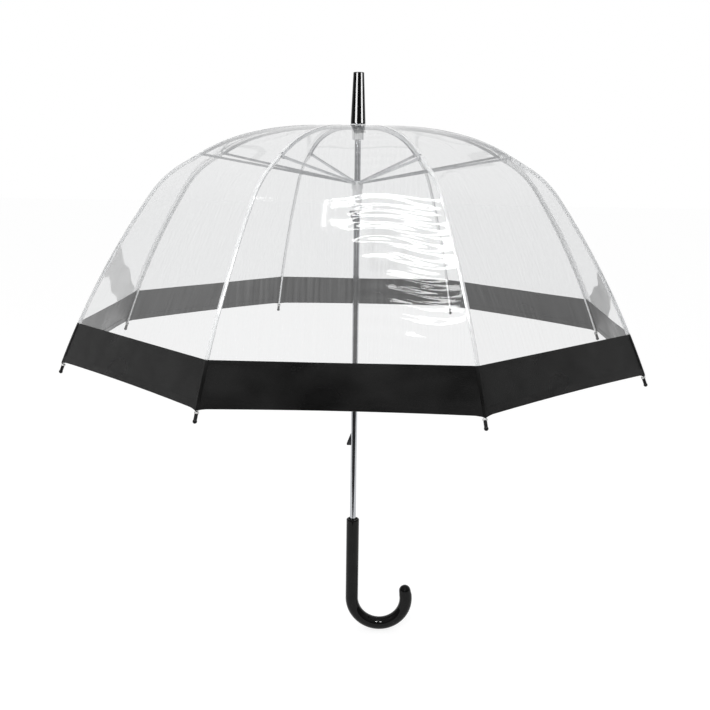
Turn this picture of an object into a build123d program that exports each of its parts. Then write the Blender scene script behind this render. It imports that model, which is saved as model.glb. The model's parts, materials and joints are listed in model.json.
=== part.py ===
"""Clear dome umbrella with a crook handle, standing open, as separate pieces.

Millimetres, +Z up the pole, origin on the pole's axis at the middle of the handle's straight grip.
Eight identical ribs stand at 22.5 degrees and every 45 degrees round from there. The crook lies in
the XZ plane and opens towards +X. Each rib is drawn once, pointing along +X, and turned to its place.
"""

import os
from math import asin, cos, degrees, radians, sin, sqrt, tan

from build123d import *

# Layout
RIB_COUNT = 8
RIB_STEP = 360 / RIB_COUNT
FIRST_RIB = RIB_STEP / 2
CHORD = cos(radians(FIRST_RIB))  # a panel's middle lies this much nearer the pole than its ribs

# Pole and handle
POLE_R = 4.5
POLE_WALL = 0.6
POLE_BOTTOM = 4.0
POLE_TOP = 702.0
HANDLE_R = 9.7
HANDLE_TOP = 64.0
BEND_Z = -66.0
BEND_R = 42.0
HOOK_RISE = 7.0
HOOK_LEAN = 9.0  # degrees inwards
HOOK_END_R = 9.0
HANDLE_MOUTH_R = 6.6
HANDLE_MOUTH_DEPTH = 3.0
HANDLE_RIM = 2.2

# Crown, runner and the eight-bar linkage. The rib's inner link and the stretcher are equally long,
# so the runner runs straight down the pole.
PIVOT_R = 7.0
CROWN_PIVOT_Z = 647.5
RUNNER_PIVOT_Z = 571.5
BRACKET_R = 223.0
BRACKET_Z = (CROWN_PIVOT_Z + RUNNER_PIVOT_Z) / 2
CROWN_R = 8.0
CROWN_TOP = 650.2
CROWN_BOTTOM = 632.0
RUNNER_R = 8.2
RUNNER_TOP = RUNNER_PIVOT_Z + 2.6
RUNNER_NECK_Z = RUNNER_PIVOT_Z - 8.0
RUNNER_BOTTOM = 532.0
SLEEVE_R = 6.75
RUNNER_BORE_R = 4.75
WIRE_R = 0.5
EYE_HOLE_R = 0.65
EYE_R = 1.5
TONGUE = 1.8  # width of the eyes that hang on the ring wires
PIVOT_SLOT = 2.2
NOTCH_FLOOR_R = 5.2

# Ribs. Slopes are in degrees below the horizontal.
INNER_FLAT = 55.0
INNER_SLOPES = (0.0, 14.0, 30.0)
OUTER_STRAIGHT = 30.0
OUTER_SLOPES = (30.0, 54.0, 68.0)
TIP_END_R = 420.0
TIP_END_Z = 320.0
TIP_LENGTH = 14.0
TIP_SOCKET = 8.0
TIP_R = 2.1
TIP_BALL_R = 2.6
RIB_WIDTH = 3.8
RIB_HEIGHT = 3.2
RIB_GROOVE = 2.2
RIB_WEB = 1.0
ROD_R = 1.5
STRETCHER_WIDTH = 3.0
STRETCHER_HEIGHT = 3.0
STRETCHER_GROOVE = 1.6
FORK_INSIDE = 4.2
FORK_WIDTH = 5.8
FORK_REACH = 9.0
FORK_SHOULDER = 3.0
EYE_REACH = 4.5  # from an eye's centre to where its channel starts
RIVET_R = 0.78
RIVET_HOLE_R = 0.8
RIVET_HEAD_R = 1.7
RIVET_HEAD = 0.6
RIVET_HALF = 3.1
BRACKET_EYE_R = 2.0
RUNNING_HOLE_R = 0.9
SOCKET_R = 2.3
SOCKET_START = 8.5
SOCKET_END = 17.0
ROD_START = 11.0
FIT = 0.02

# Canopy film and its dark border
FILM = 0.25
FILM_LIFT = 2.8  # the film's inner face above the rib's centreline
FILM_HOLE_R = 5.4
BAND_TOP_Z = 386.0
SEAM_GAP = 0.3

# Top fittings
ROSETTE_R = 11.0
ROSETTE_FLAP_R = 14.0
ROSETTE_BOTTOM = 651.0
ROSETTE_FLAP = 0.5
FERRULE_BOTTOM = 653.5
FERRULE_TOP = 724.0
FERRULE_BASE_R = 10.5
FERRULE_TOP_R = 7.5
FERRULE_EDGE = 1.0

# Spring catches, which stand out of the pole towards -X
NIB_WIDTH = 1.4
NIB_REACH = 10.7
NIB_ROOT = 2.5
NIB_NOSE = 3.0
NIB_NOSE_R = 1.2
LEAF = 0.6
LEAF_LENGTH = 26.0
CATCH_SLOT = 1.8
CATCH_ROOM = 0.6
TOP_CATCH_Z = RUNNER_BOTTOM - 0.4
TOP_CATCH_HEIGHT = 17.0
BOTTOM_CATCH_Z = 181.0
BOTTOM_CATCH_HEIGHT = 19.0
RUNNER_SLOT = 2.2
WIRE_GAP = 28.0  # degrees of the runner's ring wire that are open for the catches

INNER_LENGTH = sqrt((BRACKET_R - PIVOT_R) ** 2 + (CROWN_PIVOT_Z - BRACKET_Z) ** 2)
MERIDIAN = Plane.XZ


def two_radii(slopes, run, drop):
    """The radii of two tangent arcs that turn through the slopes and cover a run and a drop."""
    a, b, c = (radians(slope) for slope in slopes)
    run_1, run_2 = sin(b) - sin(a), sin(c) - sin(b)
    drop_1, drop_2 = cos(a) - cos(b), cos(b) - cos(c)
    scale = run_1 * drop_2 - run_2 * drop_1
    return (run * drop_2 - drop * run_2) / scale, (drop * run_1 - run * drop_1) / scale


def downhill(slope):
    """The unit direction, outwards and down, of a slope in degrees."""
    return Vector(cos(radians(slope)), -sin(radians(slope)))


def finish(piece, name):
    """Label a piece and write its file."""
    piece.part.label = name
    export_step(piece.part, f"parts/{name}.step")


def finish_around(piece, name):
    """Write the eight copies of a piece that is drawn along +X."""
    for index in range(RIB_COUNT):
        with BuildPart() as copy:
            add(piece.part, rotation=(0, 0, FIRST_RIB + index * RIB_STEP))
        finish(copy, f"{name}_{index + 1}")


def rib_outlines():
    """The centrelines of a rib's inner link and outer rod, flat, as radius and height."""
    run = BRACKET_R - PIVOT_R - INNER_FLAT
    radius_1, radius_2 = two_radii(INNER_SLOPES, run, CROWN_PIVOT_Z - BRACKET_Z)
    turn_1, turn_2 = INNER_SLOPES[1] - INNER_SLOPES[0], INNER_SLOPES[2] - INNER_SLOPES[1]
    with BuildLine() as inner:
        flat = Line((PIVOT_R, CROWN_PIVOT_Z), (PIVOT_R + INNER_FLAT, CROWN_PIVOT_Z))
        easy = JernArc(flat @ 1, flat % 1, radius_1, -turn_1)
        JernArc(easy @ 1, easy % 1, radius_2, -turn_2)

    start = Vector(BRACKET_R, BRACKET_Z)
    bend_start = start + downhill(OUTER_SLOPES[0]) * OUTER_STRAIGHT
    tip = downhill(OUTER_SLOPES[2]) * TIP_LENGTH
    radius_1, radius_2 = two_radii(
        OUTER_SLOPES, TIP_END_R - tip.X - bend_start.X, bend_start.Y - TIP_END_Z + tip.Y
    )
    turn_1, turn_2 = OUTER_SLOPES[1] - OUTER_SLOPES[0], OUTER_SLOPES[2] - OUTER_SLOPES[1]
    with BuildLine() as outer:
        rod_start = start + downhill(OUTER_SLOPES[0]) * (ROD_START + FIT)
        straight = Line((rod_start.X, rod_start.Y), (bend_start.X, bend_start.Y))
        knee = JernArc(straight @ 1, straight % 1, radius_1, -turn_1)
        shin = JernArc(knee @ 1, knee % 1, radius_2, -turn_2)
        Line(shin @ 1, (shin @ 1) + (shin % 1) * TIP_SOCKET)
    return inner.wire(), outer.wire()


INNER_OUTLINE, OUTER_OUTLINE = rib_outlines()
INNER_LINE = INNER_OUTLINE.moved(MERIDIAN.location)
OUTER_LINE = OUTER_OUTLINE.moved(MERIDIAN.location)


def pole():
    with BuildPart() as tube:
        Cylinder(POLE_R, POLE_TOP - POLE_BOTTOM, align=(Align.CENTER, Align.CENTER, Align.MIN))
        Cylinder(
            POLE_R - POLE_WALL,
            POLE_TOP - POLE_BOTTOM,
            align=(Align.CENTER, Align.CENTER, Align.MIN),
            mode=Mode.SUBTRACT,
        )
    with BuildPart() as piece:
        with Locations((0, 0, POLE_BOTTOM)):
            add(tube.part)
        catches = (
            (TOP_CATCH_Z - TOP_CATCH_HEIGHT, TOP_CATCH_HEIGHT),
            (BOTTOM_CATCH_Z, BOTTOM_CATCH_HEIGHT),
        )
        for bottom, height in catches:
            with Locations((-POLE_R, 0, bottom + height / 2)):
                Box(2 * POLE_R - 2, CATCH_SLOT, height + 2 * CATCH_ROOM, mode=Mode.SUBTRACT)
    finish(piece, "pole")


def catch(name, flat_z, height, points_down):
    """A spring catch: a wedge-shaped nose on a thin leaf inside the pole.

    Its flat end is at flat_z, and it tapers away from there, downwards or upwards.
    """
    way = -1 if points_down else 1
    with BuildPart() as piece:
        with BuildSketch(MERIDIAN):
            with BuildLine():
                Polyline(
                    (-NIB_ROOT, flat_z),
                    (-NIB_REACH, flat_z),
                    (-NIB_REACH, flat_z + way * NIB_NOSE),
                    (-POLE_R, flat_z + way * height),
                    (-NIB_ROOT, flat_z + way * height),
                    close=True,
                )
            make_face()
            with BuildLine():
                Polyline(
                    (-NIB_ROOT, flat_z + way * height),
                    (-NIB_ROOT - LEAF, flat_z + way * height),
                    (-NIB_ROOT - LEAF, flat_z + way * (height + LEAF_LENGTH)),
                    (-NIB_ROOT, flat_z + way * (height + LEAF_LENGTH)),
                    close=True,
                )
            make_face()
        extrude(amount=NIB_WIDTH / 2, both=True)
        nose = piece.edges().filter_by(Axis.Y).group_by(Axis.X)[0]
        fillet(nose, NIB_NOSE_R)
    finish(piece, name)


def handle():
    with BuildPart() as piece:
        with BuildSketch(Plane.XY.offset(BEND_Z)):
            Circle(HANDLE_R)
        extrude(amount=HANDLE_TOP - BEND_Z)
        rim = piece.edges().filter_by(GeomType.CIRCLE).sort_by(Axis.Z)[-1]
        fillet(rim, HANDLE_RIM)
        with BuildLine(MERIDIAN):
            bend = CenterArc((BEND_R, BEND_Z), BEND_R, 180, 180 + HOOK_LEAN)
        with BuildSketch(Plane(origin=bend @ 0, z_dir=bend % 0)):
            Circle(HANDLE_R)
        sweep(path=bend)
        hook_plane = Plane(origin=bend @ 1, z_dir=bend % 1)
        with BuildSketch(hook_plane):
            Circle(HANDLE_R)
        with BuildSketch(hook_plane.offset(HOOK_RISE)):
            Circle(HOOK_END_R)
        loft()
        with Locations(Location((bend @ 1) + (bend % 1) * HOOK_RISE)):
            Sphere(HOOK_END_R)
        with BuildSketch(Plane.XY.offset(POLE_BOTTOM)):
            Circle(POLE_R)
        extrude(amount=HANDLE_TOP - POLE_BOTTOM, mode=Mode.SUBTRACT)
        with BuildSketch(Plane.XY.offset(HANDLE_TOP)):
            Circle(HANDLE_MOUTH_R)
        extrude(amount=-HANDLE_MOUTH_DEPTH, mode=Mode.SUBTRACT)
    finish(piece, "handle")


def crown():
    """The notched crown on the pole: one slot for each rib, wider below where the channel swings."""
    with BuildPart() as piece:
        with BuildSketch(Plane.XY.offset(CROWN_BOTTOM)):
            Circle(CROWN_R)
            Circle(POLE_R, mode=Mode.SUBTRACT)
        extrude(amount=CROWN_TOP - CROWN_BOTTOM)
        fillet(piece.edges().filter_by(GeomType.CIRCLE).sort_by(SortBy.RADIUS)[-2:], 0.5)
        with BuildSketch(Plane.XY.offset(CROWN_BOTTOM)):
            with PolarLocations(0, RIB_COUNT, start_angle=FIRST_RIB):
                with Locations((NOTCH_FLOOR_R + CROWN_R, 0)):
                    Rectangle(2 * CROWN_R, PIVOT_SLOT)
        extrude(amount=CROWN_PIVOT_Z + EYE_R + 0.3 - CROWN_BOTTOM, mode=Mode.SUBTRACT)
        with BuildSketch(Plane.XY.offset(CROWN_BOTTOM)):
            with PolarLocations(0, RIB_COUNT, start_angle=FIRST_RIB):
                with Locations((NOTCH_FLOOR_R + CROWN_R, 0)):
                    Rectangle(2 * CROWN_R, RIB_WIDTH + 0.8)
        extrude(amount=CROWN_PIVOT_Z - EYE_R - 1.0 - CROWN_BOTTOM, mode=Mode.SUBTRACT)
        revolve(wire_profile(CROWN_PIVOT_Z), axis=Axis.Z, mode=Mode.SUBTRACT)
    finish(piece, "crown")


def wire_profile(z, turn=0):
    """The section of a ring wire, turned about the pole by an angle in degrees."""
    with BuildSketch(MERIDIAN.rotated((0, 0, turn))) as section:
        with Locations((PIVOT_R, z)):
            Circle(WIRE_R)
    return section.sketch


def ring_wire(name, z, gap):
    """The wire that the eyes hang on: a ring, open by a gap in degrees towards -X."""
    with BuildPart() as piece:
        revolve(wire_profile(z, -180 + gap / 2), axis=Axis.Z, revolution_arc=360 - gap)
    finish(piece, name)


def runner():
    """The sliding runner: a slotted head for the stretchers' eyes on a plain sleeve."""
    with BuildPart() as piece:
        with BuildSketch(MERIDIAN):
            with BuildLine():
                Polyline(
                    (RUNNER_BORE_R, RUNNER_BOTTOM),
                    (SLEEVE_R, RUNNER_BOTTOM),
                    (SLEEVE_R, RUNNER_NECK_Z - 3),
                    (RUNNER_R, RUNNER_NECK_Z),
                    (RUNNER_R, RUNNER_TOP),
                    (RUNNER_BORE_R, RUNNER_TOP),
                    close=True,
                )
            make_face()
        revolve(axis=Axis.Z)
        outer_rims = piece.edges().filter_by(GeomType.CIRCLE).sort_by(Axis.Z)
        fillet([outer_rims[0], outer_rims[-1]], 0.5)
        with BuildSketch(Plane.XY.offset(RUNNER_PIVOT_Z - EYE_R - 0.5)):
            with PolarLocations(0, RIB_COUNT, start_angle=FIRST_RIB):
                with Locations((NOTCH_FLOOR_R + RUNNER_R, 0)):
                    Rectangle(2 * RUNNER_R, PIVOT_SLOT)
        extrude(amount=RUNNER_R, mode=Mode.SUBTRACT)
        revolve(wire_profile(RUNNER_PIVOT_Z), axis=Axis.Z, mode=Mode.SUBTRACT)
        with Locations((-RUNNER_R, 0, (RUNNER_TOP + RUNNER_BOTTOM) / 2)):
            Box(
                2 * RUNNER_R - 2,
                RUNNER_SLOT,
                RUNNER_TOP - RUNNER_BOTTOM + 2,
                mode=Mode.SUBTRACT,
            )
    finish(piece, "runner")


def rosette():
    """The clear washer under the ferrule, with a thin flap that lies on the canopy."""
    with BuildPart() as piece:
        with BuildSketch(Plane.XY.offset(ROSETTE_BOTTOM)):
            Circle(ROSETTE_FLAP_R)
            Circle(POLE_R, mode=Mode.SUBTRACT)
        extrude(amount=ROSETTE_FLAP)
        with BuildSketch(Plane.XY.offset(ROSETTE_BOTTOM)):
            Circle(ROSETTE_R)
            Circle(POLE_R, mode=Mode.SUBTRACT)
        extrude(amount=FERRULE_BOTTOM - ROSETTE_BOTTOM)
    finish(piece, "rosette")


def ferrule():
    with BuildPart() as piece:
        with BuildSketch(Plane.XY.offset(FERRULE_BOTTOM)):
            Circle(FERRULE_BASE_R)
        with BuildSketch(Plane.XY.offset(FERRULE_TOP)):
            Circle(FERRULE_TOP_R)
        loft()
        fillet(piece.edges().filter_by(GeomType.CIRCLE), FERRULE_EDGE)
        with BuildSketch(Plane.XY.offset(FERRULE_BOTTOM)):
            Circle(POLE_R)
        extrude(amount=POLE_TOP - FERRULE_BOTTOM, mode=Mode.SUBTRACT)
    finish(piece, "ferrule")


def rib_inner():
    """A rib's inner link: a curved channel, with an eye at the crown and a rivet at the bracket."""
    with BuildPart() as piece:
        with BuildSketch(MERIDIAN):
            trace(INNER_OUTLINE, line_width=RIB_HEIGHT)
        extrude(amount=RIB_WIDTH / 2, both=True)
        # the groove below the web
        with BuildSketch(MERIDIAN):
            trace(INNER_OUTLINE.moved(Location((0, -RIB_WEB, 0))), line_width=RIB_HEIGHT)
        extrude(amount=RIB_GROOVE / 2, both=True, mode=Mode.SUBTRACT)
        # room at both ends for the eye and for the rod's tongue
        with Locations((PIVOT_R, 0, CROWN_PIVOT_Z)):
            Box(2 * EYE_REACH, 2 * RIB_WIDTH, 2 * RIB_HEIGHT, mode=Mode.SUBTRACT)
        with BuildSketch(MERIDIAN):
            with Locations((BRACKET_R, BRACKET_Z)):
                Circle(BRACKET_EYE_R)
        extrude(amount=RIB_WIDTH / 2, both=True)
        with BuildSketch(MERIDIAN):
            with Locations((BRACKET_R, BRACKET_Z)):
                Circle(2.5 * RIB_HEIGHT)
        extrude(amount=RIB_GROOVE / 2, both=True, mode=Mode.SUBTRACT)
        # the eye on the crown's ring wire
        with BuildSketch(MERIDIAN):
            with Locations((PIVOT_R, CROWN_PIVOT_Z)):
                Circle(EYE_R)
            with Locations((PIVOT_R + EYE_REACH, CROWN_PIVOT_Z)):
                Rectangle(2 * EYE_REACH, 2 * EYE_R - 0.6)
        extrude(amount=TONGUE / 2, both=True)
        with BuildSketch(MERIDIAN):
            with Locations((PIVOT_R, CROWN_PIVOT_Z)):
                Circle(EYE_HOLE_R)
        extrude(amount=TONGUE, both=True, mode=Mode.SUBTRACT)
        # a filler that joins the eye's tongue to the channel
        with Locations((PIVOT_R + 2 * EYE_REACH - 1.5, 0, CROWN_PIVOT_Z)):
            Box(5, RIB_WIDTH, RIB_HEIGHT)
        with BuildSketch(MERIDIAN):
            with Locations((BRACKET_R, BRACKET_Z)):
                Circle(RIVET_HOLE_R)
        extrude(amount=RIB_WIDTH, both=True, mode=Mode.SUBTRACT)
        # the rivet, a piece of its own
        with BuildSketch(MERIDIAN):
            with Locations((BRACKET_R, BRACKET_Z)):
                Circle(RIVET_R)
        extrude(amount=RIVET_HALF, both=True)
        for plane in (MERIDIAN.offset(RIVET_HALF), MERIDIAN.offset(-RIVET_HALF - RIVET_HEAD)):
            with BuildSketch(plane):
                with Locations((BRACKET_R, BRACKET_Z)):
                    Circle(RIVET_HEAD_R)
            extrude(amount=RIVET_HEAD)
    finish_around(piece, "rib_inner")


def rib_outer():
    """A rib's springy outer rod in its connector, which turns on the bracket's rivet."""
    slope = downhill(OUTER_SLOPES[0])
    pivot = Vector(BRACKET_R, 0, BRACKET_Z)
    along = Vector(slope.X, 0, slope.Y)
    across = Plane(origin=pivot, z_dir=along, x_dir=(0, 1, 0))
    with BuildPart() as piece:
        with BuildSketch(MERIDIAN):
            with Locations((BRACKET_R, BRACKET_Z)):
                Circle(BRACKET_EYE_R)
            with Locations(Location((BRACKET_R, BRACKET_Z), -OUTER_SLOPES[0])):
                Rectangle(SOCKET_START + 1, 2 * ROD_R, align=(Align.MIN, Align.CENTER))
        extrude(amount=TONGUE / 2, both=True)
        with BuildSketch(across.offset(SOCKET_START)):
            Circle(SOCKET_R)
        extrude(amount=SOCKET_END - SOCKET_START)
        fillet(piece.edges().filter_by(GeomType.CIRCLE).group_by(SortBy.RADIUS)[-1], 0.4)
        with BuildSketch(across.offset(ROD_START)):
            Circle(ROD_R + FIT)
        extrude(amount=SOCKET_END, mode=Mode.SUBTRACT)
        with BuildSketch(MERIDIAN):
            with Locations((BRACKET_R, BRACKET_Z)):
                Circle(RUNNING_HOLE_R)
        extrude(amount=RIB_WIDTH, both=True, mode=Mode.SUBTRACT)
        # the rod, a piece of its own
        with BuildSketch(Plane(origin=OUTER_LINE @ 0, z_dir=OUTER_LINE % 0)):
            Circle(ROD_R)
        sweep(path=OUTER_LINE)
    finish_around(piece, "rib_outer")


def rib_tip():
    """The dark cap on the rod's end, with a ball for a nose and a waist for the border's thread."""
    down = Vector(downhill(OUTER_SLOPES[2]).X, 0, downhill(OUTER_SLOPES[2]).Y)
    start = Plane(origin=OUTER_LINE @ 1 - down * TIP_SOCKET, z_dir=down)
    with BuildPart() as piece:
        with BuildSketch(start):
            Circle(TIP_R)
        extrude(amount=TIP_LENGTH - TIP_BALL_R)
        with Locations(Location(start.origin + down * (TIP_LENGTH - TIP_BALL_R))):
            Sphere(TIP_BALL_R)
        with BuildSketch(start):
            Circle(ROD_R + FIT)
        extrude(amount=TIP_SOCKET, mode=Mode.SUBTRACT)
    finish_around(piece, "rib_tip")


def stretcher():
    """A straight channel from the runner to the bracket, with an eye and a fork."""
    start = Vector(PIVOT_R, 0, RUNNER_PIVOT_Z)
    end = Vector(BRACKET_R, 0, BRACKET_Z)
    along = (end - start).normalized()
    length = (end - start).length
    side = Plane(origin=start, x_dir=along, z_dir=(0, -1, 0))
    eye_reach, shoulder = EYE_REACH, length - FORK_REACH
    with BuildPart() as piece:
        with BuildSketch(side):
            with Locations((eye_reach, 0)):
                Rectangle(
                    shoulder - eye_reach, STRETCHER_HEIGHT, align=(Align.MIN, Align.CENTER)
                )
        extrude(amount=STRETCHER_WIDTH / 2, both=True)
        with BuildSketch(side):
            with Locations((eye_reach + 4, STRETCHER_HEIGHT / 2)):
                Rectangle(
                    shoulder - FORK_SHOULDER - eye_reach - 4,
                    2 * STRETCHER_HEIGHT - 1.8,
                    align=(Align.MIN, Align.CENTER),
                )
        extrude(amount=STRETCHER_GROOVE / 2, both=True, mode=Mode.SUBTRACT)
        with BuildSketch(side):
            Circle(EYE_R)
            Rectangle(eye_reach + 1, 2 * EYE_R - 0.6, align=(Align.MIN, Align.CENTER))
        extrude(amount=TONGUE / 2, both=True)
        with BuildSketch(side):
            Circle(EYE_HOLE_R)
        extrude(amount=TONGUE, both=True, mode=Mode.SUBTRACT)
        # the fork that straddles the rib
        with BuildSketch(side):
            with Locations((shoulder - FORK_SHOULDER, 0)):
                Rectangle(
                    FORK_SHOULDER + FORK_REACH, STRETCHER_HEIGHT, align=(Align.MIN, Align.CENTER)
                )
            with Locations((length, 0)):
                Circle(STRETCHER_HEIGHT / 2 + 0.2)
        extrude(amount=FORK_WIDTH / 2, both=True)
        with BuildSketch(side):
            with Locations((shoulder, 0)):
                Rectangle(
                    2 * FORK_REACH, 2 * STRETCHER_HEIGHT, align=(Align.MIN, Align.CENTER)
                )
        extrude(amount=FORK_INSIDE / 2, both=True, mode=Mode.SUBTRACT)
        with BuildSketch(side):
            with Locations((length, 0)):
                Circle(RUNNING_HOLE_R)
        extrude(amount=FORK_WIDTH, both=True, mode=Mode.SUBTRACT)
    finish_around(piece, "stretcher")


def film_point(line, share, height):
    """A point on a face of a panel, in the plane through the panel's middle."""
    point, tangent = line @ share, line % share
    up = height + FILM_LIFT
    return (point.X - tangent.Z * up) * CHORD, point.Z + tangent.X * up


def share_at(line, z):
    """How far along a falling line, as a share of its length, it reaches a height."""
    low, high = 0.0, 1.0
    while high - low > 1e-6:
        middle = (low + high) / 2
        low, high = (middle, high) if (line @ middle).Z > z else (low, middle)
    return low


def film(name, stations):
    """A rib's share of the canopy: half a flat panel on each side of it, as one thin sheet."""
    faces = [[film_point(line, share, height) for line, share in stations] for height in (0, FILM)]
    if stations[0] == (INNER_LINE, 0.0):
        faces = [[(FILM_HOLE_R, face[0][1])] + face for face in faces]
    half_step = radians(RIB_STEP / 2)
    outwards, sideways = (cos(half_step), sin(half_step), 0), (sin(half_step), -cos(half_step), 0)
    middle = Plane(origin=(0, 0, 0), x_dir=outwards, z_dir=sideways)
    with BuildPart() as piece:
        with BuildSketch(middle):
            with BuildLine():
                under = Spline(*faces[0])
                over = Spline(*faces[1])
                Line(under @ 0, over @ 0)
                Line(under @ 1, over @ 1)
            make_face()
        extrude(amount=TIP_END_R * tan(half_step), both=True)
        split(bisect_by=middle.offset(SEAM_GAP / 2), keep=Keep.TOP)
        split(bisect_by=Plane.XZ, keep=Keep.BOTTOM)
        mirror(about=Plane.XZ)
    finish_around(piece, name)


def canopy():
    inner_shares = [(INNER_LINE, share / 4) for share in range(5)]
    band_share = share_at(OUTER_LINE, BAND_TOP_Z)
    outer_shares = [(OUTER_LINE, band_share * share / 6) for share in range(1, 7)]
    film("canopy_panel", inner_shares + outer_shares)
    last_share = 1 - TIP_SOCKET / OUTER_LINE.length
    band_start = share_at(OUTER_LINE, BAND_TOP_Z - SEAM_GAP)
    band = [band_start + (last_share - band_start) * share / 2 for share in range(3)]
    film("canopy_border", [(OUTER_LINE, share) for share in band])


os.makedirs("parts", exist_ok=True)
pole()
catch("top_catch", TOP_CATCH_Z, TOP_CATCH_HEIGHT, points_down=True)
catch("bottom_catch", BOTTOM_CATCH_Z, BOTTOM_CATCH_HEIGHT, points_down=False)
handle()
crown()
ring_wire("crown_wire", CROWN_PIVOT_Z, gap=0)
runner()
ring_wire("runner_wire", RUNNER_PIVOT_Z, gap=WIRE_GAP)
rosette()
ferrule()
rib_inner()
rib_outer()
rib_tip()
stretcher()
canopy()

closed = degrees(asin((22.0 - PIVOT_R) / INNER_LENGTH))
print("link length", round(INNER_LENGTH, 3), "closed angle", round(closed, 3))
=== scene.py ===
"""The looks of a clear dome umbrella with a dark border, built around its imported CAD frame."""

import json
from math import atan2, cos, exp, hypot, pi, radians, sin

import bpy
from mathutils import Matrix, Vector

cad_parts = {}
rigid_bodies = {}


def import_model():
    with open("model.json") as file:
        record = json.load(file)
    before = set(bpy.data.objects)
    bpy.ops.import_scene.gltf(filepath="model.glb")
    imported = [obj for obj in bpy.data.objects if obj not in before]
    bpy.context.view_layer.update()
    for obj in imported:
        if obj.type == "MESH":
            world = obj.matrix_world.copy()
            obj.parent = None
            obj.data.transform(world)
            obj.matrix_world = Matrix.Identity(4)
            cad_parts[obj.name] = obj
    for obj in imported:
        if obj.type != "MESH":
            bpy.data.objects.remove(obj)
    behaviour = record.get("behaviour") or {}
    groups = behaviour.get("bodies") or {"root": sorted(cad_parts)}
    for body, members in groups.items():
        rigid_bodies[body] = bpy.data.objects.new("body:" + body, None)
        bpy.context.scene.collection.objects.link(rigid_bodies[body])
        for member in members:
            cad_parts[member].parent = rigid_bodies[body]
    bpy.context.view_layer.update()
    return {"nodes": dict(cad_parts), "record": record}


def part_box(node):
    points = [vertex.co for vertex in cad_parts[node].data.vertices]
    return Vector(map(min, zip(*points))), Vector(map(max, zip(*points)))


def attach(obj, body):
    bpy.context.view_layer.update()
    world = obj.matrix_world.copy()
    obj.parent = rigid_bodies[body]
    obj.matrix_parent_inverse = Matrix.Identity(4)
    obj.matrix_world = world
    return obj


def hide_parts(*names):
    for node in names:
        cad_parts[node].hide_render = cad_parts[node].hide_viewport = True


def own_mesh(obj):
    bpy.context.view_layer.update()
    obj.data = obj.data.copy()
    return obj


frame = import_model()

MM = 0.001
RIBS = 8
RIB_STEP = 45.0  # degrees
HALF_STEP = radians(22.5)
CHORD = cos(HALF_STEP)  # a panel's middle lies this much nearer the pole than its ribs

# The rib's centreline, as in the CAD: radii and heights in millimetres, slopes in degrees.
CROWN = (7.0, 647.5)
BRACKET = (223.0, 609.5)
TIP_END = (420.0, 320.0)
INNER_FLAT = 55.0
INNER_SLOPES = (0.0, 14.0, 30.0)
OUTER_STRAIGHT = 30.0
OUTER_SLOPES = (30.0, 54.0, 68.0)
TIP_LENGTH = 14.0
BAND_TOP_Z = 386.0
FILM_LIFT = 2.925  # the middle of the film above the rib's centreline
FILM_HOLE_R = 5.4

# The film's ripples: heights and runs in millimetres, a run being a wavelength over two pi.
PANEL_PHASE = 1.7
CALM_AT_CROWN, CALM_AT_HEM = 60, 25
SLOW_HEIGHT, SLOW_RUN, SLOW_ACROSS = 0.9, 47, 2.1
TIGHT_HEIGHT, TIGHT_RUN, TIGHT_BEND, TIGHT_BEND_RUN = 0.175, 19, 2.5, 60
PLEAT_HEIGHT, PLEAT_RUN, PLEAT_BEND, PLEAT_BEND_RUN = 0.22, 21, 1.4, 55

# The front panel also has short crinkles, from near its middle to the right and at its left edge.
FRONT_PANEL = 6
CRINKLE_HEIGHT, CRINKLE_RUN = 0.30, 2.9
CRINKLE_BEND, CRINKLE_BEND_RUN = 1.8, 23
CRINKLE_SWAY, CRINKLE_SWAY_RUN = 0.9, 17
CRINKLE_RIGHT, CRINKLE_LEFT, CRINKLE_EDGE = 12, -95, 6
CRINKLE_LEFT_SHARE = 0.8
CRINKLE_FADE = 40

# Meshes
SHARP_ANGLE = radians(40)
COLUMN_CROWDING = 1.15
FLAT_STEPS = 40
STRIP_COLUMNS = 20
LINE_TOLERANCE = 0.01

# The border's hem and its weld to the clear film, in millimetres
HEM_STEP, HEM_STEP_SHARE, HEM_BOW = 1.8, 0.05, 1.8
HEM, HEM_FOLD, HEM_STITCH, HEM_HALF = 9.0, 1.2, 1, 0.45
WELD_HEIGHT, WELD_EDGE, WELD_HALF = 4.0, 0.6, 0.3

# The seams along the ribs, in millimetres
SEAM_CLEARANCE = 0.15
SEAM_WIDEST_SHARE = 0.8
SEAM_START = 1.5
SEAM_END = 4.0  # the upper seam stops this far short of the bracket, where the lower film folds
SEAM_HEM_GAP = 1.5

# The thread round each rib's tip: its radius, the coil's radius and run, in millimetres
THREAD_R = 0.38
THREAD_COIL_R = 2.1
THREAD_START, THREAD_RUN = 0.4, 2.2
THREAD_STEPS = 20
THREAD_TURNS = 3
THREAD_SIDES = 6


# ---------------------------------------------------------------- the rib's line


def two_radii(slopes, run, drop):
    """The radii of two tangent arcs that turn through the slopes and cover a run and a drop."""
    a, b, c = (radians(slope) for slope in slopes)
    run_1, run_2 = sin(b) - sin(a), sin(c) - sin(b)
    drop_1, drop_2 = cos(a) - cos(b), cos(b) - cos(c)
    scale = run_1 * drop_2 - run_2 * drop_1
    return (run * drop_2 - drop * run_2) / scale, (drop * run_1 - run * drop_1) / scale


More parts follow.
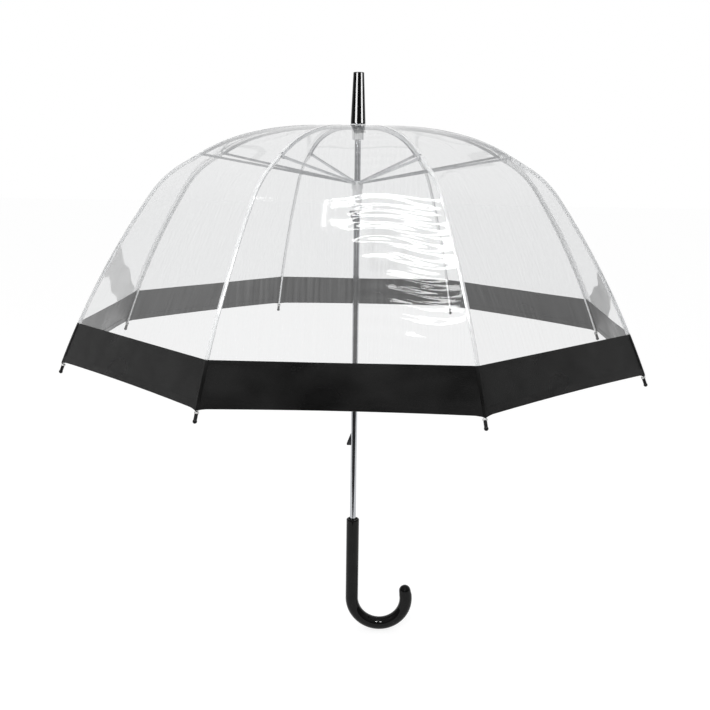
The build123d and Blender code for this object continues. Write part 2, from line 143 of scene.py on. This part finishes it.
def rib_line(start, straight, slopes, run, drop):
    """A straight run and two arcs, as a function from arc length to radius, height and slope."""
    a, b, c = (radians(slope) for slope in slopes)
    radius_1, radius_2 = two_radii(slopes, run - straight * cos(a), drop - straight * sin(a))
    bends = ((a, b, radius_1), (b, c, radius_2))
    length = straight + sum(radius * (end - begin) for begin, end, radius in bends)

    def at(distance):
        flat = min(distance, straight)
        r, z, slope = start[0] + flat * cos(a), start[1] - flat * sin(a), a
        left = distance - flat
        for begin, end, radius in bends:
            turn = min(left / radius, end - begin)
            slope = begin + turn
            r += radius * (sin(slope) - sin(begin))
            z -= radius * (cos(begin) - cos(slope))
            left -= turn * radius
            if left <= 0:
                break
        return r, z, slope

    return at, length


inner_at, INNER_LENGTH = rib_line(
    CROWN, INNER_FLAT, INNER_SLOPES, BRACKET[0] - CROWN[0], CROWN[1] - BRACKET[1]
)
last_slope = radians(OUTER_SLOPES[2])
outer_at, OUTER_LENGTH = rib_line(
    BRACKET,
    OUTER_STRAIGHT,
    OUTER_SLOPES,
    TIP_END[0] - BRACKET[0] - TIP_LENGTH * cos(last_slope),
    BRACKET[1] - TIP_END[1] - TIP_LENGTH * sin(last_slope),
)


def line_at(s):
    """The rib's centreline by arc length from the crown's pivot."""
    return inner_at(max(s, 0.0)) if s <= INNER_LENGTH else outer_at(s - INNER_LENGTH)


def arc_at_height(height):
    """The arc length at which the outer rib's centreline comes down to a height."""
    low, high = INNER_LENGTH, INNER_LENGTH + OUTER_LENGTH
    while high - low > LINE_TOLERANCE:
        middle = (low + high) / 2
        low, high = (middle, high) if line_at(middle)[1] > height else (low, middle)
    return low


S_CROWN = FILM_HOLE_R - CROWN[0]
S_BRACKET = INNER_LENGTH
S_BAND = arc_at_height(BAND_TOP_Z)
S_HEM = INNER_LENGTH + OUTER_LENGTH


# ---------------------------------------------------------------- the canopy's surface


def film_line(s, lift):
    """Radius, height and slope of the film where it lies on a rib."""
    r, z, slope = line_at(s)
    return r + min(s, 0.0) + sin(slope) * lift, z + cos(slope) * lift, slope


def ripple(panel, s, y, half_width):
    """How far the film stands off its flat panel, in mm: none at the ribs, the crown or the hem."""
    across = y / half_width
    calm = max(0.0, 1 - across * across)
    ends = min(1.0, max(s, 0.0) / CALM_AT_CROWN) * min(1.0, (S_HEM - s) / CALM_AT_HEM)
    phase = PANEL_PHASE * panel
    slow = SLOW_HEIGHT * sin(s / SLOW_RUN + phase) * cos(SLOW_ACROSS * across + phase)
    tight_bend = TIGHT_BEND * sin(y / TIGHT_BEND_RUN + phase)
    tight = TIGHT_HEIGHT * sin(s / TIGHT_RUN + tight_bend + phase)
    pleat_bend = PLEAT_BEND * sin(s / PLEAT_BEND_RUN)
    pleats = PLEAT_HEIGHT * sin(y / PLEAT_RUN + pleat_bend + phase)
    crinkle = 0.0
    if panel == FRONT_PANEL:
        right = 1 / (1 + exp((CRINKLE_RIGHT - y) / CRINKLE_EDGE))
        left = CRINKLE_LEFT_SHARE / (1 + exp((y - CRINKLE_LEFT) / CRINKLE_EDGE))
        fade = min(1.0, max(0.0, (S_BAND - s) / CRINKLE_FADE))
        bend = CRINKLE_BEND * sin(y / CRINKLE_BEND_RUN)
        sway = CRINKLE_SWAY * sin(s / CRINKLE_SWAY_RUN)
        crinkle = CRINKLE_HEIGHT * (right + left) * fade * sin(s / CRINKLE_RUN + bend + sway)
    return calm * ends * (slow + tight + pleats + crinkle)


def hem_rise(across):
    """How far the border's lower edge rises from a straight line between two tips, in mm."""
    near_tip = min(1.0, (1 - abs(across)) / HEM_STEP_SHARE)
    return HEM_STEP * near_tip + HEM_BOW * (1 - across * across)


def azimuth(rib):
    """The angle of a rib round the pole, in radians."""
    return radians(RIB_STEP * (rib - 1)) + HALF_STEP


def panel_point(rib, side, s, share, lift):
    """A point of the half panel beside a rib: share 0 is at the rib, 1 in the panel's middle."""
    r, z, slope = film_line(s, lift)
    half_width = r * sin(HALF_STEP)
    y = -side * half_width * (1 - share)
    panel = rib if side > 0 else (rib - 2) % RIBS + 1
    off = ripple(panel, s, y, half_width)
    tall = hypot(sin(slope), CHORD * cos(slope))
    out = r * CHORD + off * sin(slope) / tall
    up = z + off * CHORD * cos(slope) / tall
    turn = azimuth(rib) + side * HALF_STEP
    return Vector((out * cos(turn) - y * sin(turn), out * sin(turn) + y * cos(turn), up)) * MM


def mesh_object(name, points, faces, uvs=None, smooth=True):
    """A mesh in the scene, with its UVs in metres where they are given."""
    mesh = bpy.data.meshes.new(name)
    mesh.from_pydata(points, [], faces)
    if uvs:
        layer = mesh.uv_layers.new(name="metres")
        for loop in mesh.loops:
            layer.data[loop.index].uv = uvs[loop.vertex_index]
    for face in mesh.polygons:
        face.use_smooth = smooth
    mesh.set_sharp_from_angle(angle=SHARP_ANGLE)
    mesh.validate()
    made = bpy.data.objects.new(name, mesh)
    bpy.context.scene.collection.objects.link(made)
    return made


def grid_faces(rows, columns, flip):
    """Quads between the points of a grid; flip turns their normals round."""
    faces = []
    for i in range(rows - 1):
        for j in range(columns - 1):
            a = i * columns + j
            quad = (a, a + 1, a + columns + 1, a + columns)
            faces.append(quad[::-1] if flip else quad)
    return faces


def columns_across(count):
    """Shares across a half panel, closer together at the rib."""
    return [(j / count) ** COLUMN_CROWDING for j in range(count + 1)]


def half_panel(name, rib, side, s_from, s_to, rows, columns, hem=False):
    """A single sheet of film on one side of a rib."""
    shares = columns_across(columns)
    points, uvs = [], []
    for i in range(rows + 1):
        for share in shares:
            rise = hem_rise(1 - share) if hem else 0.0
            s = s_from + (s_to - rise - s_from) * i / rows
            points.append(panel_point(rib, side, s, share, FILM_LIFT))
            half_width = film_line(s, FILM_LIFT)[0] * sin(HALF_STEP)
            uvs.append((-side * half_width * (1 - share) * MM, s * MM))
    faces = grid_faces(rows + 1, columns + 1, side > 0)
    return mesh_object(name, points, faces, uvs)


def half_strip(name, rib, side, stations, lifts, columns):
    """A thin closed strip across half a panel; each station is an arc length for each share."""
    shares = columns_across(columns)
    points, uvs = [], []
    loop = [(station, lifts[1]) for station in stations]
    loop += [(station, lifts[0]) for station in reversed(stations)]
    for share in shares:
        for station, lift in loop:
            s = station(share)
            points.append(panel_point(rib, side, s, share, lift))
            half_width = film_line(s, lift)[0] * sin(HALF_STEP)
            uvs.append((-side * half_width * (1 - share) * MM, s * MM))
    count = len(loop)
    faces = []
    for j in range(columns):
        for i in range(count):
            a, b = j * count + i, j * count + (i + 1) % count
            quad = (a, b, b + count, a + count)
            faces.append(quad if side > 0 else quad[::-1])
    first, last = tuple(range(count)), tuple(columns * count + i for i in range(count))
    faces.append(first[::-1] if side > 0 else first)
    faces.append(last if side > 0 else last[::-1])
    return mesh_object(name, points, faces, uvs)


def squash_to_rib(piece, s_from, s_to):
    """Gives a half panel a mesh of its own; it does not fold the panel onto its rib."""
    r_1, z_1, _ = film_line(s_from, FILM_LIFT)
    r_2, z_2, _ = film_line(s_to, FILM_LIFT)
    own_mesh(piece)


def flat_size(s_from, s_to):
    """Width, length and area in metres of a half panel laid flat."""
    step = (s_to - s_from) / FLAT_STEPS
    stations = [s_from + step * i for i in range(FLAT_STEPS + 1)]
    widths = [film_line(s, FILM_LIFT)[0] * sin(HALF_STEP) for s in stations]
    area = step * (sum(widths) - (widths[0] + widths[-1]) / 2)
    return (max(widths) * MM, (s_to - s_from) * MM), area * MM * MM


def seam(name, rib, s_from, s_to, half_width, thickness, rows):
    """The welded strip along a rib, on the film, bent like a shallow roof."""
    points, uvs = [], []
    base = FILM_LIFT + SEAM_CLEARANCE
    for i in range(rows + 1):
        s = s_from + (s_to - s_from) * i / rows
        reach = film_line(s, base)[0] * sin(HALF_STEP)
        share = min(half_width / reach, SEAM_WIDEST_SHARE)
        across = ((-1, share), (-1, share / 2), (1, 0.0), (1, share / 2), (1, share))
        for lift in (base + thickness, base):
            for side, part in across:
                points.append(panel_point(rib, side, s, part, lift))
                uvs.append((side * part * reach * MM, s * MM))
    ring = (0, 1, 2, 3, 4, 9, 8, 7, 6, 5)
    count = len(ring)
    faces = []
    for i in range(rows):
        here, there = count * i, count * (i + 1)
        for j in range(count):
            a, b = ring[j], ring[(j + 1) % count]
            faces.append((here + a, there + a, there + b, here + b))
    faces.append(ring)
    faces.append(tuple(count * rows + j for j in reversed(ring)))
    return mesh_object(name, points, faces, uvs)


def thread(name, rib):
    """Three turns of thread that tie the border's corner to the rib's dark tip."""
    r, z, slope = line_at(S_HEM)
    turn = Matrix.Rotation(azimuth(rib), 3, "Z")
    along = turn @ Vector((cos(slope), 0, -sin(slope)))
    upward = turn @ Vector((sin(slope), 0, cos(slope)))
    sideways = along.cross(upward)
    centre = turn @ Vector((r, 0, z)) * MM
    points, faces = [], []
    count = THREAD_STEPS * THREAD_TURNS
    for i in range(count + 1):
        angle = 2 * pi * i / THREAD_STEPS
        outward = cos(angle) * upward + sin(angle) * sideways
        forward = (THREAD_START + THREAD_RUN * i / count) * along
        middle = centre + (forward + (THREAD_COIL_R + THREAD_R) * outward) * MM
        for corner in range(THREAD_SIDES):
            around = 2 * pi * corner / THREAD_SIDES
            points.append(middle + THREAD_R * MM * (cos(around) * outward + sin(around) * along))
    for i in range(count):
        for j in range(THREAD_SIDES):
            a, b = THREAD_SIDES * i + j, THREAD_SIDES * i + (j + 1) % THREAD_SIDES
            faces.append((a, b, b + THREAD_SIDES, a + THREAD_SIDES))
    faces.append(tuple(range(THREAD_SIDES))[::-1])
    faces.append(tuple(THREAD_SIDES * count + j for j in range(THREAD_SIDES)))
    return mesh_object(name, points, faces)


# ---------------------------------------------------------------- materials

NOISE_LOW, NOISE_HIGH = 0.3, 0.7  # where a noise texture's values mostly lie
MIX_DARK, MIX_LIGHT, MIX_RESULT = 6, 7, 2  # the colour sockets of a Mix node
FINE_GRAIN, FINE_DETAIL = 9, 5.0
RELIEF_DEPTH = 5e-5
SEE_THROUGH = (0.90, 0.903, 0.905, 1)
HAZE_WHITE = (0.95, 0.955, 0.96, 1)
HAZE_SCALE, HAZE_DETAIL = 3.0, 4.0
WAVE_SCALE, LONG_WAVE_SCALE, LONG_WAVE_STRETCH = 26.0, 22.0, (1, 4, 1)
GRAZING_POWER = 5.0
CREASE_STRETCH, CREASE_SCALE, CREASE_WEIGHT = (5, 7, 1), 2.2, 6.0
# The border's own black, and a lighter black painted on its crease ridges as a painted sheen
BORDER_DARK, BORDER_FOLD_SHEEN = (0.001, 0.001, 0.001), (0.010, 0.010, 0.010)


def node(tree, kind, **inputs):
    """A shader node; each input is a value or the socket to link it to."""
    made = tree.nodes.new("ShaderNode" + kind)
    for name, value in inputs.items():
        socket = made.inputs[name.replace("_", " ")]
        if isinstance(value, bpy.types.NodeSocket):
            tree.links.new(value, socket)
        else:
            socket.default_value = value
    return made


def new_material(name):
    """An empty material and its node tree."""
    made = bpy.data.materials.new(name)
    made.use_nodes = True
    made.node_tree.nodes.clear()
    return made, made.node_tree


def output(tree, shader):
    node(tree, "OutputMaterial", Surface=shader)


def coordinates(tree, which, scale=(1, 1, 1)):
    """Object or UV coordinates, stretched by a scale for each axis."""
    source = node(tree, "TexCoord").outputs[which]
    return node(tree, "Mapping", Vector=source, Scale=scale).outputs[0]


def noise(tree, vector, scale, detail=3.0):
    made = node(tree, "TexNoise", Vector=vector, Scale=scale, Detail=detail, Roughness=0.55)
    return made.outputs[0]


def spread(tree, value, low, high, from_low=NOISE_LOW, from_high=NOISE_HIGH):
    """Maps a range of a value, by default a noise's, to low and high."""
    made = node(
        tree,
        "MapRange",
        Value=value,
        From_Min=from_low,
        From_Max=from_high,
        To_Min=low,
        To_Max=high,
    )
    return made.outputs[0]


def tint(tree, factor, dark, light):
    """A colour between dark and light."""
    made = tree.nodes.new("ShaderNodeMix")
    made.data_type = "RGBA"
    tree.links.new(factor, made.inputs[0])
    made.inputs[MIX_DARK].default_value = (*dark, 1)
    made.inputs[MIX_LIGHT].default_value = (*light, 1)
    return made.outputs[MIX_RESULT]


def bump(tree, height, strength, distance):
    return node(tree, "Bump", Strength=strength, Distance=distance, Height=height).outputs[0]


def solid(name, dark, light, rough, grain, stretch=(1, 1, 1), relief=0.1, **fixed):
    """A moulded or drawn material: mottled colour and gloss, with a fine relief."""
    made, tree = new_material(name)
    vector = coordinates(tree, "Object", stretch)
    broad = noise(tree, vector, grain)
    fine = noise(tree, vector, grain * FINE_GRAIN, FINE_DETAIL)
    shader = node(
        tree,
        "BsdfPrincipled",
        Base_Color=tint(tree, spread(tree, broad, 0, 1), dark, light),
        Roughness=spread(tree, fine, *rough),
        Normal=bump(tree, fine, relief, RELIEF_DEPTH),
        **fixed,
    )
    output(tree, shader.outputs[0])
    return made


def clear(name, haze, haze_low, gloss, straight_on, relief, depth, streak):
    """Clear film: mostly see-through, with a milky haze that is streaked and a glossy face.

    It reflects the share straight_on where it is seen squarely, and everything at a grazing angle.
    """
    made, tree = new_material(name)
    long_way = coordinates(tree, "UV", streak)
    even = coordinates(tree, "UV")
    milky = spread(tree, noise(tree, long_way, HAZE_SCALE, HAZE_DETAIL), haze_low, haze)
    waves = node(tree, "Math", Value=noise(tree, even, WAVE_SCALE, 1.0))
    waves.operation = "ADD"
    stretched = coordinates(tree, "UV", LONG_WAVE_STRETCH)
    tree.links.new(noise(tree, stretched, LONG_WAVE_SCALE, 1.0), waves.inputs[1])
    normal = bump(tree, waves.outputs[0], relief, depth)
    see = node(tree, "BsdfTransparent", Color=SEE_THROUGH)
    white = node(tree, "BsdfDiffuse", Color=HAZE_WHITE, Normal=normal)
    body = node(tree, "MixShader", Fac=milky)
    tree.links.new(see.outputs[0], body.inputs[1])
    tree.links.new(white.outputs[0], body.inputs[2])
    shine = node(tree, "BsdfGlossy", Color=(1, 1, 1, 1), Roughness=gloss, Normal=normal)
    facing = node(tree, "LayerWeight", Blend=0.5, Normal=normal).outputs["Facing"]
    grazing = node(tree, "Math", Value=facing)
    grazing.operation = "POWER"
    grazing.inputs[1].default_value = GRAZING_POWER
    mirror = spread(tree, grazing.outputs[0], straight_on, 1.0, 0.0, 1.0)
    whole = node(tree, "MixShader", Fac=mirror)
    tree.links.new(body.outputs[0], whole.inputs[1])
    tree.links.new(shine.outputs[0], whole.inputs[2])
    output(tree, whole.outputs[0])
    return made


def border_film(name):
    """Satin black film, with soft vertical and slanting creases; its colour is painted lighter on
    the crease ridges, a painted sheen on the folds.
    """
    made, tree = new_material(name)
    creases = noise(tree, coordinates(tree, "UV", CREASE_STRETCH), CREASE_SCALE, 2.0)
    fine = noise(tree, coordinates(tree, "UV"), 900.0, 3.0)
    height = node(tree, "Math", Value=creases)
    height.operation = "MULTIPLY_ADD"
    height.inputs[1].default_value = CREASE_WEIGHT
    tree.links.new(fine, height.inputs[2])
    shader = node(
        tree,
        "BsdfPrincipled",
        # painted sheen: the colour is lighter where the creases rise
        Base_Color=tint(tree, spread(tree, creases, 0, 1), BORDER_DARK, BORDER_FOLD_SHEEN),
        Roughness=spread(tree, creases, 0.26, 0.42),
        Specular_IOR_Level=0.2,
        Normal=bump(tree, height.outputs[0], 0.7, 0.0006),
    )
    output(tree, shader.outputs[0])
    return made


# Each solid look: darkest and lightest colour, range of roughness, grain per metre, then where they
# differ from the defaults the grain's stretch, the relief's strength and fixed shader values.
LOOKS = {
    "chrome_tube": solid(
        "chrome_tube", (0.40, 0.41, 0.43), (0.54, 0.55, 0.57), (0.06, 0.13), 40, (8, 8, 0.5), 0.08,
        Metallic=1.0,
    ),
    "spring_steel": solid(
        "spring_steel", (0.10, 0.10, 0.11), (0.22, 0.22, 0.23), (0.25, 0.42), 90, (1, 1, 0.3),
        Metallic=0.9,
    ),
    "black_gloss": solid(
        "black_gloss", (0.002, 0.002, 0.002), (0.004, 0.004, 0.004), (0.05, 0.08), 60, relief=0.004,
        Specular_IOR_Level=0.17,
    ),
    "pale_plastic": solid(
        "pale_plastic", (0.72, 0.73, 0.74), (0.86, 0.86, 0.86), (0.3, 0.45), 120, relief=0.15
    ),
    "rib_channel": solid(
        "rib_channel", (0.55, 0.56, 0.58), (0.75, 0.76, 0.77), (0.25, 0.42), 60, (1, 1, 1), 0.2,
        Metallic=0.55,
    ),
    "rib_rod": solid(
        "rib_rod", (0.80, 0.81, 0.82), (0.92, 0.92, 0.92), (0.14, 0.24), 80, relief=0.05,
        Coat_Weight=0.8
    ),
    "stretcher_channel": solid(
        "stretcher_channel", (0.55, 0.56, 0.58), (0.75, 0.76, 0.77), (0.25, 0.4), 70, relief=0.2,
        Metallic=0.55,
    ),
    "clear_plastic": solid(
        "clear_plastic", (0.80, 0.82, 0.83), (0.92, 0.93, 0.93), (0.06, 0.16), 90, Alpha=0.45
    ),
    "tip_black": solid(
        "tip_black", (0.006, 0.006, 0.006), (0.014, 0.014, 0.015), (0.14, 0.26), 150, relief=0.1
    ),
    # Each clear look: most and least haze, roughness, share reflected straight on, relief, its
    # depth in metres, and the haze's stretch.
    "clear_film": clear("clear_film", 0.115, 0.055, 0.05, 0.07, 0.25, 0.0002, (90, 3, 1)),
    "black_film": border_film("black_film"),
}
# Pale thread at the rib tips: partly the thread's own colour, partly a painted glint at the tips
THREAD_AND_GLINT = solid(
    "thread", (0.45, 0.45, 0.44), (0.85, 0.85, 0.84), (0.3, 0.5), 900, (1, 1, 1), 0.4
)
WELD = clear("weld", 0.45, 0.32, 0.08, 0.12, 0.02, 0.0001, (40, 20, 1))

# The frame's own bodies wear the look of their slot in the record.
for subpart in frame["record"]["subparts"]:
    shown = frame["nodes"][subpart["node"]]
    shown.data.materials.clear()
    shown.data.materials.append(LOOKS[subpart["material_slot"]])

# The top catch is as bright as the pole.
frame["nodes"]["top_catch"].material_slots[0].material = LOOKS["chrome_tube"]


def dress(piece, look):
    """Gives a piece its look, and returns it."""
    piece.data.materials.append(look)
    return piece


# ---------------------------------------------------------------- the canopy's pieces

SIDES = (("a", -1), ("b", 1))
BANDS = (
    # name, from, to, rows, columns, body, joint, anchor's rise, keep, slot, replaced node
    ("film_upper", S_CROWN, S_BRACKET, 60, 16, "rib_inner", "fold", 0.0, 0.115, "clear_film",
     "canopy_panel"),
    ("film_lower", S_BRACKET, S_BAND, 150, 26, "rib_outer", "bend", 10.0, 0.10, "clear_film",
     "canopy_panel"),
    ("border", S_BAND, S_HEM, 24, 26, "rib_outer", "bend", 0.0, 0.10, "black_film",
     "canopy_border"),
)
SEAMS = (
    # name, from, to, half width, thickness, rows, body, look, slot
    ("seam_upper", SEAM_START, S_BRACKET - SEAM_END, 2.4, 0.35, 50, "rib_inner",
     WELD, "clear_film"),
    ("seam_lower", S_BRACKET, S_BAND, 2.6, 0.35, 70, "rib_outer", WELD, "clear_film"),
    ("seam_border", S_BAND, S_HEM - SEAM_HEM_GAP, 3.2, 0.5, 20, "rib_outer",
     LOOKS["black_film"], "black_film"),
)


def hem_line(up):
    """A line on the border, that far above its lower edge, by share across the half panel."""
    return lambda share: S_HEM - hem_rise(1 - share) - up


def band_line(down):
    """A level line on the border, that far below its upper edge."""
    return lambda share: S_BAND + down


HEM_LINES = [hem_line(up) for up in (0.0, HEM_FOLD, HEM - HEM_STITCH, HEM)]
BAND_LINES = [band_line(down) for down in (0.0, WELD_EDGE, WELD_HEIGHT - WELD_EDGE, WELD_HEIGHT)]

for rib in range(1, RIBS + 1):
    for letter, side in SIDES:
        for name, start, end, rows, columns, body, joint, rise, keep, slot, cad_node in BANDS:
            is_border = name == "border"
            piece = half_panel(
                f"{name}_{rib}_{letter}", rib, side, start, end, rows, columns, hem=is_border
            )
            dress(piece, LOOKS[slot])
            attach(piece, f"{body}_{rib}")
            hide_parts(f"{cad_node}_{rib}")
            extras = []
            if is_border:
                hem = half_strip(
                    f"hem_{rib}_{letter}", rib, side, HEM_LINES,
                    (FILM_LIFT - HEM_HALF, FILM_LIFT + HEM_HALF), STRIP_COLUMNS,
                )
                top = half_strip(
                    f"band_top_{rib}_{letter}", rib, side, BAND_LINES,
                    (FILM_LIFT - WELD_HALF, FILM_LIFT + WELD_HALF), STRIP_COLUMNS,
                )
                extras = [hem, top]
                for extra in extras:
                    dress(extra, LOOKS[slot])
                    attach(extra, f"{body}_{rib}")
            for soft in [piece, *extras]:
                squash_to_rib(soft, start, end)
            flat, area = flat_size(start, end)
    for name, start, end, half_width, thickness, rows, body, look, slot in SEAMS:
        strip = seam(f"{name}_{rib}", rib, start, end, half_width, thickness, rows)
        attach(dress(strip, look), f"{body}_{rib}")

    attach(dress(thread(f"thread_{rib}", rib), THREAD_AND_GLINT), f"rib_outer_{rib}")

# ---------------------------------------------------------------- camera, floor and light

LENS = 50.2
CAMERA_PLACE = (0.0586, -1.4343, 0.6215)
CAMERA_TURN, CAMERA_TILT, CAMERA_ROLL = 2.34, 11.86, 0.77  # degrees: left, down, anticlockwise
camera_data = bpy.data.cameras.new("camera")
camera_data.lens = LENS
camera = bpy.data.objects.new("camera", camera_data)
bpy.context.scene.collection.objects.link(camera)
camera.matrix_world = (
    Matrix.Translation(CAMERA_PLACE)
    @ Matrix.Rotation(radians(CAMERA_TURN), 4, "Z")
    @ Matrix.Rotation(radians(90 - CAMERA_TILT), 4, "X")
    @ Matrix.Rotation(radians(CAMERA_ROLL), 4, "Z")
)
bpy.context.scene.camera = camera

# The floor starts just in front of the umbrella, so that the chrome reflects a dark front. It gives
# off light as well, which brings it near the white behind it.
FLOOR_GAP = 0.0005
FLOOR_HALF, FLOOR_FRONT, FLOOR_BACK = 8, -0.45, 12
FLOOR_GLOW, FLOOR_GREY = 0.765, (0.36, 0.36, 0.36, 1)
WHITE = (1, 1, 1, 1)
handle_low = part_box("handle")[0]
floor_z = handle_low.z - FLOOR_GAP
floor_corners = (
    (-FLOOR_HALF, FLOOR_FRONT),
    (FLOOR_HALF, FLOOR_FRONT),
    (FLOOR_HALF, FLOOR_BACK),
    (-FLOOR_HALF, FLOOR_BACK),
)
floor_points = [Vector((x, y, floor_z)) for x, y in floor_corners]
floor = mesh_object("floor", floor_points, [(0, 1, 2, 3)], smooth=False)
pale, tree = new_material("pale_floor")
glow = node(tree, "Emission", Color=WHITE, Strength=FLOOR_GLOW)
matt = node(tree, "BsdfDiffuse", Color=FLOOR_GREY)
both = node(tree, "AddShader")
tree.links.new(glow.outputs[0], both.inputs[0])
tree.links.new(matt.outputs[0], both.inputs[1])
output(tree, both.outputs[0])
floor.data.materials.append(pale)

# The room is white to the camera. To every other ray it is dark in front, bright above and behind.
ROOM_DARK, ROOM_BRIGHT = 0.04, 0.85
world = bpy.data.worlds.new("studio")
bpy.context.scene.world = world
world.use_nodes = True
tree = world.node_tree
tree.nodes.clear()
direction = node(tree, "SeparateXYZ", Vector=node(tree, "TexCoord").outputs["Generated"])
overhead = spread(tree, direction.outputs[2], 0.0, 0.8, 0.05, 0.9)
behind = spread(tree, direction.outputs[1], 0.0, 1.0, -0.3, 0.5)
most = node(tree, "Math", Value=overhead)
most.operation = "MAXIMUM"
tree.links.new(behind, most.inputs[1])
brightness = spread(tree, most.outputs[0], ROOM_DARK, ROOM_BRIGHT, 0, 1)
room = node(tree, "Background", Color=WHITE, Strength=brightness)
seen = node(tree, "Background", Color=WHITE, Strength=1.0)
choice = node(tree, "MixShader", Fac=node(tree, "LightPath").outputs["Is Camera Ray"])
tree.links.new(room.outputs[0], choice.inputs[1])
tree.links.new(seen.outputs[0], choice.inputs[2])
node(tree, "OutputWorld", Surface=choice.outputs[0])


def softbox(name, place, target, width, height, power):
    """A rectangular light aimed at a target; metres and watts."""
    data = bpy.data.lights.new(name, "AREA")
    data.shape = "RECTANGLE"
    data.size, data.size_y, data.energy = width, height, power
    box = bpy.data.objects.new(name, data)
    bpy.context.scene.collection.objects.link(box)
    box.location = place
    away = Vector(target) - Vector(place)
    box.rotation_euler = away.to_track_quat("-Z", "Y").to_euler()
    return box


# A window with slats, overhead in front: each one's place down the window, middle, width, power
SLATS = (
    (0.05, 0.075, 0.31, 0.6),
    (0.15, 0.075, 0.31, 0.5),
    (0.34, 0.070, 0.30, 0.5),
    (0.46, 0.130, 0.16, 0.22),
    (0.58, 0.130, 0.16, 0.22),
    (0.78, 0.170, 0.16, 0.2),
    (0.90, 0.190, 0.14, 0.18),
)
SLAT_HEIGHT = 0.055
WINDOW_TOP, WINDOW_FOOT = Vector((0, -0.77, 1.97)), Vector((0, -1.50, 1.45))
for index, (down, middle, width, power) in enumerate(SLATS):
    place = WINDOW_TOP.lerp(WINDOW_FOOT, down) + Vector((middle, 0, 0))
    softbox(f"slat_{index}", place, (middle / 3, 0, 0.5), width, SLAT_HEIGHT, power)
softbox("window_slit", (-0.115, -0.95, 1.86), (-0.04, 0, 0.5), 0.02, 0.30, 0.12)
softbox("window_left", (-0.345, -0.86, 1.90), (-0.1, 0, 0.5), 0.03, 0.16, 0.10)
softbox("left_key", (-1.5, -1.0, 1.6), (0, 0, 0.45), 0.9, 0.9, 1.2)
fill = softbox("fill", (-0.4, -1.8, 1.0), (0, 0, 0.4), 1.2, 1.2, 24)
fill.visible_glossy = False

# Highlights, each linked to the parts that show it
glossy_parts = bpy.data.collections.new("glossy_parts")
for name in ("ferrule", "pole"):
    glossy_parts.objects.link(frame["nodes"][name])
front_ribs = bpy.data.collections.new("front_ribs")
for rib in (6, 7):
    for name in ("rib_outer", "rib_inner", "seam_upper", "seam_lower"):
        front_ribs.objects.link(bpy.data.objects[f"{name}_{rib}"])
gleam = softbox("gleam", (0, -1.3, 1.6), (0, 0, 0.45), 1.2, 0.4, 7)
gleam.light_linking.receiver_collection = front_ribs
pole_only = bpy.data.collections.new("pole_only")
pole_only.objects.link(frame["nodes"]["pole"])
sheen = softbox("pole_sheen", (-0.1, -2.2, 0.5), (0, 0, 0.5), 0.5, 0.55, 1.4)
sheen.light_linking.receiver_collection = pole_only
handle_only = bpy.data.collections.new("handle_only")
handle_only.objects.link(frame["nodes"]["handle"])
for name, x, width in (("glint_left", -0.10, 0.14), ("glint_right", 0.16, 0.08)):
    glint = softbox(name, (x, -1.0, 0.74), (0.03, 0, -0.08), width, 0.06, 4.0)
    glint.light_linking.receiver_collection = handle_only
for name, place, width, power in (
    ("streak_left", (-0.80, -1.27, 0.90), 0.80, 60),
    ("streak_right", (1.38, -0.59, 0.90), 0.75, 56),
):
    streak = softbox(name, place, (0, 0, 0.69), width, 0.35, power)
    streak.visible_diffuse = False
    streak.light_linking.receiver_collection = glossy_parts

bpy.context.scene.view_settings.view_transform = "Standard"
